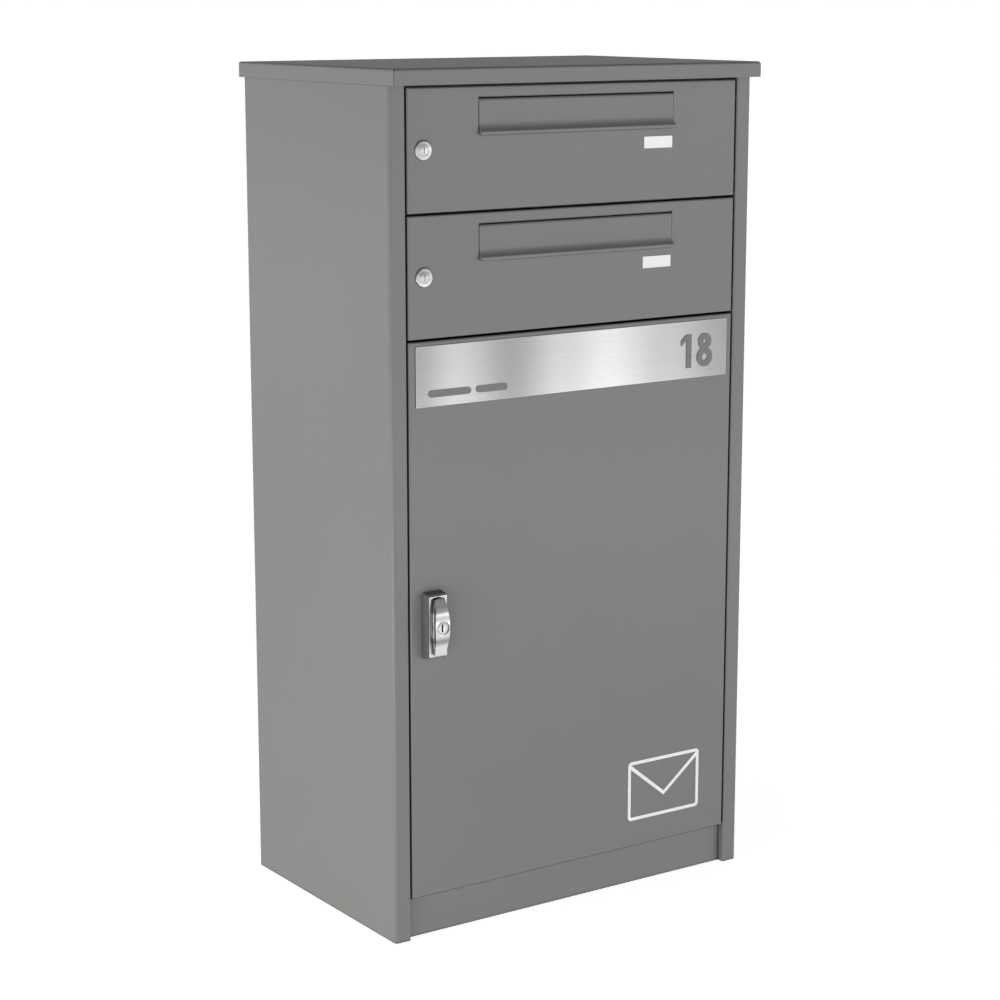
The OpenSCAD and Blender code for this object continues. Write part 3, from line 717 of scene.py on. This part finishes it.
class MAILBOX_OT_sheet(Operator):
    """Give the folded sheet its powder coat"""

    bl_idname = "mailbox.sheet"
    bl_label = "Folded Sheet"

    def execute(self, context):
        dress(SHEET_NODES, powder_coat(context.scene.mailbox_sheet))
        return {"FINISHED"}


class MAILBOX_OT_hardware(Operator):
    """Give the hinges, strikes, cams and screws their zinc plating"""

    bl_idname = "mailbox.hardware"
    bl_label = "Zinc-Plated Hardware"

    def execute(self, context):
        dress(ZINC_NODES, zinc(context.scene.mailbox_metal))
        return {"FINISHED"}


class MAILBOX_OT_letter_locks(Operator):
    """Turn the two letter locks, each with a threaded barrel, a gasket and a plug"""

    bl_idname = "mailbox.letter_locks"
    bl_label = "Letter Locks"

    def execute(self, context):
        settings = context.scene.mailbox_lock
        silver = nickel(context.scene.mailbox_metal)
        black = rubber()
        for level in ("upper", "lower"):
            self.housing(level, settings, silver)
            self.gasket(level, settings, black)
            self.plug(level, settings, silver)
        return {"FINISHED"}

    def housing(self, level, settings, material):
        node = f"{level}_lock_housing"
        low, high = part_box(node)
        door_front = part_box(f"{level}_letter_door")[0].y
        centre = (middle(node).x, door_front, middle(node).z)
        face = (high.x - low.x) / 2
        front = low.y - door_front
        end = high.y - door_front
        lip = BARREL_BORE + 0.3 * MM
        rim = face - settings.face_round
        face_steps = 8
        pitch = settings.thread_pitch
        thread_depth = 0.35 * MM
        thread_start = 1.6 * MM
        thread_end = end - 0.6 * MM

        def crowned(radius):
            return front + settings.crown * (radius / face) ** 2

        rings = [(circle(BARREL_BORE), end), (circle(BARREL_BORE), front + 0.5 * MM)]
        for step in range(face_steps + 1):
            radius = lip + (rim - lip) * step / face_steps
            rings.append((circle(radius), crowned(radius)))
        rounded = round_edge(face, crowned(face), settings.face_round)
        rings += [(circle(radius), y) for radius, y in reversed(rounded[:-1])]
        rings += [(circle(face), -GASKET_THICK), (circle(BARREL), -GASKET_THICK)]
        rings += [(circle(BARREL), thread_start)]
        y = thread_start
        while y + pitch < thread_end:
            rings += [(circle(BARREL - thread_depth), y + 0.5 * pitch), (circle(BARREL), y + pitch)]
            y += pitch
        rings += [(circle(BARREL - 0.5 * MM), end)]
        mesh = bmesh.new()
        skin(mesh, centre, rings, directions(settings.rays), True)
        piece(f"{level}_lock_barrel", mesh, material, f"{level}_door", "nickel", node, angle=40.0)

    def gasket(self, level, settings, material):
        node = f"{level}_lock_housing"
        low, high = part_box(node)
        centre = (middle(node).x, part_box(f"{level}_letter_door")[0].y, middle(node).z)
        overhang = 0.35 * MM
        outer = (high.x - low.x) / 2 + overhang
        rings = [
            (circle(BARREL), 0.0), (circle(BARREL), -GASKET_THICK),
            (circle(outer - 0.15 * MM), -GASKET_THICK), (circle(outer), -0.2 * MM),
            (circle(outer), 0.0),
        ]
        mesh = bmesh.new()
        skin(mesh, centre, rings, directions(settings.rays), True)
        piece(f"{level}_lock_gasket", mesh, material, f"{level}_door", "rubber")

    def plug(self, level, settings, material):
        node = f"{level}_lock_plug"
        low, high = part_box(node)
        centre = (middle(node).x, 0.0, middle(node).z)
        radius = (high.x - low.x) / 2
        face, end = low.y, high.y
        slot = stadium(0.9 * MM, 4.0 * MM)
        lip = stadium(1.1 * MM, 4.2 * MM)
        crown = settings.crown * 0.3
        edge = 0.25 * MM
        shoulder = end - 2.0 * MM
        tail = 3.5 * MM
        rings = [
            (slot, face + 0.9 * MM), (slot, face + 0.25 * MM),
            (lip, lambda x, z: face + crown * (x * x + z * z) / radius ** 2),
            (circle(4.8 * MM), face + crown * 0.64), (circle(radius - edge), face + crown),
            (circle(radius), face + crown + edge), (circle(radius), shoulder),
            (circle(tail), shoulder), (circle(tail), end - 0.2 * MM), (circle(3.3 * MM), end),
        ]
        mesh = bmesh.new()
        skin(mesh, centre, rings, directions(settings.rays, (LETTER_SLOT_CORNER,)), False)
        piece(f"{level}_lock_core", mesh, material, f"{level}_lock", "nickel", node)


class MAILBOX_OT_turn_handle(Operator):
    """Build the turn handle: its dark base, its plate, its bowed grip and its key plug"""

    bl_idname = "mailbox.turn_handle"
    bl_label = "Turn Handle"

    def execute(self, context):
        settings = context.scene.mailbox_handle
        rays = context.scene.mailbox_lock.rays
        metal = context.scene.mailbox_metal
        plate = satin_chrome(metal, "chrome_plate", HANDLE_PLATE_PAINTED_REFLECTION)
        grip = satin_chrome(metal, "chrome_grip", GRIP_PAINTED_REFLECTION)
        plug = satin_chrome(metal, "chrome_plug", KEY_PLUG_PAINTED_REFLECTION)
        self.centre = (middle("turn_grip").x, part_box("parcel_door")[0].y, middle("key_plug").z)
        self.base(dark_moulding(), rays)
        self.plate(settings, plate, rays)
        self.grip(settings, grip, rays)
        self.key_plug(plug, rays)
        self.shutter(rubber(), rays)
        return {"FINISHED"}

    def half_sizes(self, node):
        """Half the width and height of a node, and its front measured from the door's face."""
        low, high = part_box(node)
        return (high.x - low.x) / 2, (high.z - low.z) / 2, low.y - self.centre[1]

    def base(self, material, rays):
        wide, high, front = self.half_sizes("latch_base")
        bore = circle(SPINDLE_BORE)
        rings = [
            (bore, 0.0), (bore, front),
            (soft_rect(wide - 0.9 * MM, high - 1.9 * MM, 0.5 * MM), front),
            (soft_rect(wide - 0.7 * MM, high - 1.65 * MM, 0.6 * MM), front + 0.1 * MM),
            (soft_rect(wide - 0.6 * MM, high - 1.55 * MM, 0.7 * MM), front + 0.35 * MM),
            (soft_rect(wide, high, 0.7 * MM), 0.0),
        ]
        mesh = bmesh.new()
        skin(mesh, self.centre, rings, directions(rays, ((wide, high),)), True)
        piece("handle_base", mesh, material, "parcel_door_body", "dark_base", "latch_base")

    def plate(self, settings, material, rays):
        wide, high, front = self.half_sizes("latch_plate")
        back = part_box("latch_plate")[1].y - self.centre[1]
        bore = circle(SPINDLE_BORE)
        lean = settings.undercut
        tall = GRIP_HALF_HIGH + settings.seat_margin
        floor_tall = 33.3 * MM + settings.seat_margin
        seat = leaf(9.2 * MM - lean, 6.2 * MM - lean, tall, GRIP_END_SAG)
        seat = at_least(8.12 * MM, seat)
        seat_floor = leaf(9.0 * MM - lean, 6.0 * MM - lean, floor_tall, GRIP_END_SAG)
        seat_floor = at_least(8.1 * MM, seat_floor)
        floor = front + settings.seat_depth
        rings = [
            (bore, back), (bore, floor), (seat_floor, floor), (seat, floor - 0.2 * MM),
            (seat, front),
            (soft_rect(wide - 0.45 * MM, high - 0.45 * MM, 1.0 * MM), front),
            (soft_rect(wide - 0.12 * MM, high - 0.12 * MM, 1.1 * MM), front + 0.12 * MM),
            (soft_rect(wide, high, 1.2 * MM), front + 0.45 * MM),
            (soft_rect(wide, high, 1.2 * MM), back),
        ]
        mesh = bmesh.new()
        skin(mesh, self.centre, rings, directions(rays, ((wide, high), SEAT_CORNER)), True)
        piece("handle_plate", mesh, material, "parcel_door_body", "satin_chrome", "latch_plate")

    def grip(self, settings, material, rays):
        low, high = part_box("turn_grip")
        apex = low.y - self.centre[1]
        end = high.y - self.centre[1]
        foot = -13.0 * MM
        tip = 2.8 * MM
        land = -21.9 * MM
        sag = foot - tip - apex
        bow_radius = (GRIP_HALF_HIGH ** 2 + sag ** 2) / (2 * sag)

        def bow(x, z):
            return apex + bow_radius - math.sqrt(bow_radius ** 2 - z ** 2)

        def set_back(depth):
            return lambda x, z: min(bow(x, z) + depth, foot - 0.1 * MM)

        def outline(inset):
            shape = leaf(9.5 * MM, 6.5 * MM, GRIP_HALF_HIGH, GRIP_END_SAG)
            return lambda across, up: shape(across, up) - inset

        def between(share, inset):
            inner, outer = circle(8.35 * MM), outline(inset)
            return lambda across, up: inner(across, up) * (1 - share) + outer(across, up) * share

        edge = settings.edge_round
        bore = circle(6.05 * MM)
        rings = [
            (bore, -13.2 * MM), (bore, land + 0.15 * MM), (circle(6.2 * MM), land),
            (circle(8.1 * MM), land), (circle(8.2 * MM), lambda x, z: bow(x, z) + 0.1 * MM),
        ]
        steps = 26
        rings += [(between(step / steps, edge), bow) for step in range(steps + 1)]
        for turn in (22.5, 45.0, 67.5, 90.0):
            across = edge * (1 - math.sin(math.radians(turn)))
            drop = edge * (1 - math.cos(math.radians(turn)))
            rings.append((outline(across), set_back(drop)))
        shoulder = 6.0 * MM
        tail = circle(5.0 * MM)
        rings += [
            (outline(settings.undercut), foot), (circle(SPINDLE), foot),
            (circle(SPINDLE), shoulder), (tail, shoulder), (tail, end - 0.5 * MM),
            (circle(4.5 * MM), end),
        ]
        mesh = bmesh.new()
        skin(mesh, self.centre, rings, directions(rays, (GRIP_CORNER,)), False)
        piece("handle_grip", mesh, material, "turn_handle", "satin_chrome", "turn_grip", angle=38.0)

    def key_plug(self, material, rays):
        low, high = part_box("key_plug")
        centre = (self.centre[0], 0.0, self.centre[2])
        radius = (high.x - low.x) / 2
        face, end = low.y, high.y
        slot = stadium(1.3 * MM, 4.5 * MM)
        lip = stadium(1.5 * MM, 4.7 * MM)
        edge = 0.3 * MM
        rings = [
            (slot, face + 5.0 * MM), (slot, face + 0.2 * MM), (lip, face),
            (circle(radius - edge), face), (circle(radius), face + edge), (circle(radius), end),
        ]
        mesh = bmesh.new()
        skin(mesh, centre, rings, directions(rays, (KEY_SLOT_CORNER,)), False)
        piece("handle_key_plug", mesh, material, "key_cylinder", "satin_chrome", "key_plug")

    def shutter(self, material, rays):
        """Closes the key slot a little way behind its mouth."""
        centre = (self.centre[0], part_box("key_plug")[0].y, self.centre[2])
        edge = stadium(1.25 * MM, 4.45 * MM)
        edge_front = stadium(1.05 * MM, 4.25 * MM)
        rings = [(edge_front, 0.9 * MM), (edge, 1.1 * MM), (edge, 4.6 * MM)]
        mesh = bmesh.new()
        skin(mesh, centre, rings, directions(rays, (KEY_SLOT_CORNER,)), False)
        piece("handle_key_shutter", mesh, material, "key_cylinder", "rubber")


class MAILBOX_OT_number_plate(Operator):
    """Finish the steel number plate, the digits and the name bars"""

    bl_idname = "mailbox.number_plate"
    bl_label = "Number Plate"

    def execute(self, context):
        dress(("number_plate",), brushed_steel(context.scene.mailbox_metal))
        grey = film("grey_print", tuple(context.scene.mailbox_mark.print_colour), 60.0)
        dress(("house_digits", "name_bars"), grey)
        return {"FINISHED"}


class MAILBOX_OT_cards(Operator):
    """Finish the name cards and the envelope emblem"""

    bl_idname = "mailbox.cards"
    bl_label = "Name Cards and Emblem"

    def execute(self, context):
        settings = context.scene.mailbox_mark
        dress(("upper_name_card", "lower_name_card"), card_paper(settings))
        dress(("door_emblem",), film("white_film", tuple(settings.emblem_colour), 40.0))
        return {"FINISHED"}


class MAILBOX_OT_buffers(Operator):
    """Finish the rubber door buffers"""

    bl_idname = "mailbox.buffers"
    bl_label = "Door Buffers"

    def execute(self, context):
        dress(("door_buffers",), rubber())
        return {"FINISHED"}


class MAILBOX_OT_stage(Operator):
    """Set up the pale floor, the soft lights and the camera"""

    bl_idname = "mailbox.stage"
    bl_label = "Floor, Lights and Camera"

    def execute(self, context):
        settings = context.scene.mailbox_stage
        self.floor(settings)
        self.sky(settings)
        for name, (place, target, wide, high) in LAMPS.items():
            power = getattr(settings, f"{name}_power")
            self.lamp(f"{name}_light", place, target, wide, high, power)
        self.camera(settings)
        context.scene.view_settings.view_transform = "Standard"
        return {"FINISHED"}

    def floor(self, settings):
        finish = Finish("pale_floor")
        cloud = finish.noise(1.5, 3.0)
        finish.colour(finish.mottle(cloud, settings.floor_colour, 0.995, 1.005))
        finish.set(roughness=0.9, specular_ior_level=0.1, emission_strength=settings.floor_glow)
        finish.set(emission_color=(1.0, 1.0, 1.0, 1.0))
        mesh = bmesh.new()
        bmesh.ops.create_circle(mesh, cap_ends=True, radius=400.0, segments=128)
        data = bpy.data.meshes.new("floor")
        mesh.to_mesh(data)
        mesh.free()
        data.materials.append(finish.material)
        made = bpy.data.objects.new("floor", data)
        bpy.context.scene.collection.objects.link(made)

    def sky(self, settings):
        world = bpy.data.worlds.new("soft_sky")
        world.use_nodes = True
        tree = world.node_tree
        tree.nodes.clear()
        output = tree.nodes.new("ShaderNodeOutputWorld")
        light = tree.nodes.new("ShaderNodeBackground")
        place = tree.nodes.new("ShaderNodeTexCoord")
        split = tree.nodes.new("ShaderNodeSeparateXYZ")
        ramp = tree.nodes.new("ShaderNodeValToRGB")
        stops = ((0.05, settings.horizon), (0.7, settings.zenith))
        for element, (height, strength) in zip(ramp.color_ramp.elements, stops):
            element.position = height
            element.color = (strength, strength, strength, 1.0)
        tree.links.new(place.outputs["Generated"], split.inputs["Vector"])
        tree.links.new(split.outputs["Z"], ramp.inputs["Fac"])
        tree.links.new(ramp.outputs["Color"], light.inputs["Color"])
        tree.links.new(light.outputs["Background"], output.inputs["Surface"])
        bpy.context.scene.world = world

    def lamp(self, name, place, target, wide, high, power):
        data = bpy.data.lights.new(name, "AREA")
        data.shape = "RECTANGLE"
        data.size = wide
        data.size_y = high
        data.energy = power
        made = bpy.data.objects.new(name, data)
        made.location = place
        made.rotation_euler = (Vector(target) - Vector(place)).to_track_quat("-Z", "Y").to_euler()
        made.visible_camera = False
        bpy.context.scene.collection.objects.link(made)

    def camera(self, settings):
        data = bpy.data.cameras.new("camera")
        data.sensor_width = 36.0
        data.lens = settings.lens
        made = bpy.data.objects.new("camera", data)
        made.location = settings.camera_place
        made.rotation_euler = (math.pi / 2 - settings.camera_tilt, 0.0, -settings.camera_turn)
        bpy.context.scene.collection.objects.link(made)
        bpy.context.scene.camera = made


STEPS = (
    MAILBOX_OT_sheet, MAILBOX_OT_hardware, MAILBOX_OT_letter_locks, MAILBOX_OT_turn_handle,
    MAILBOX_OT_number_plate, MAILBOX_OT_cards, MAILBOX_OT_buffers, MAILBOX_OT_stage,
)


class MAILBOX_PT_panel(Panel):
    """Every step that builds the look of the cabinet"""

    bl_idname = "MAILBOX_PT_panel"
    bl_label = "Mailbox Cabinet"
    bl_space_type = "VIEW_3D"
    bl_region_type = "UI"
    bl_category = "Mailbox"

    def draw(self, context):
        layout = self.layout
        for step in STEPS:
            layout.operator(step.bl_idname)
        for group in GROUPS:
            box = layout.box()
            settings = getattr(context.scene, group)
            for name in settings.bl_rna.properties.keys():
                if name not in ("rna_type", "name"):
                    box.prop(settings, name)


GROUPS = {
    "mailbox_sheet": SheetSettings,
    "mailbox_metal": MetalSettings,
    "mailbox_mark": MarkSettings,
    "mailbox_lock": LockSettings,
    "mailbox_handle": HandleSettings,
    "mailbox_stage": StageSettings,
}
CLASSES = tuple(GROUPS.values()) + STEPS + (MAILBOX_PT_panel,)


def register():
    for kind in CLASSES:
        bpy.utils.register_class(kind)
    for name, kind in GROUPS.items():
        setattr(bpy.types.Scene, name, PointerProperty(type=kind))


def unregister():
    for name in GROUPS:
        delattr(bpy.types.Scene, name)
    for kind in reversed(CLASSES):
        bpy.utils.unregister_class(kind)


def main():
    register()
    for step in STEPS:
        family, name = step.bl_idname.split(".")
        if getattr(getattr(bpy.ops, family), name)() != {"FINISHED"}:
            raise RuntimeError(f"{step.bl_label} did not finish")


if __name__ == "__main__":
    main()
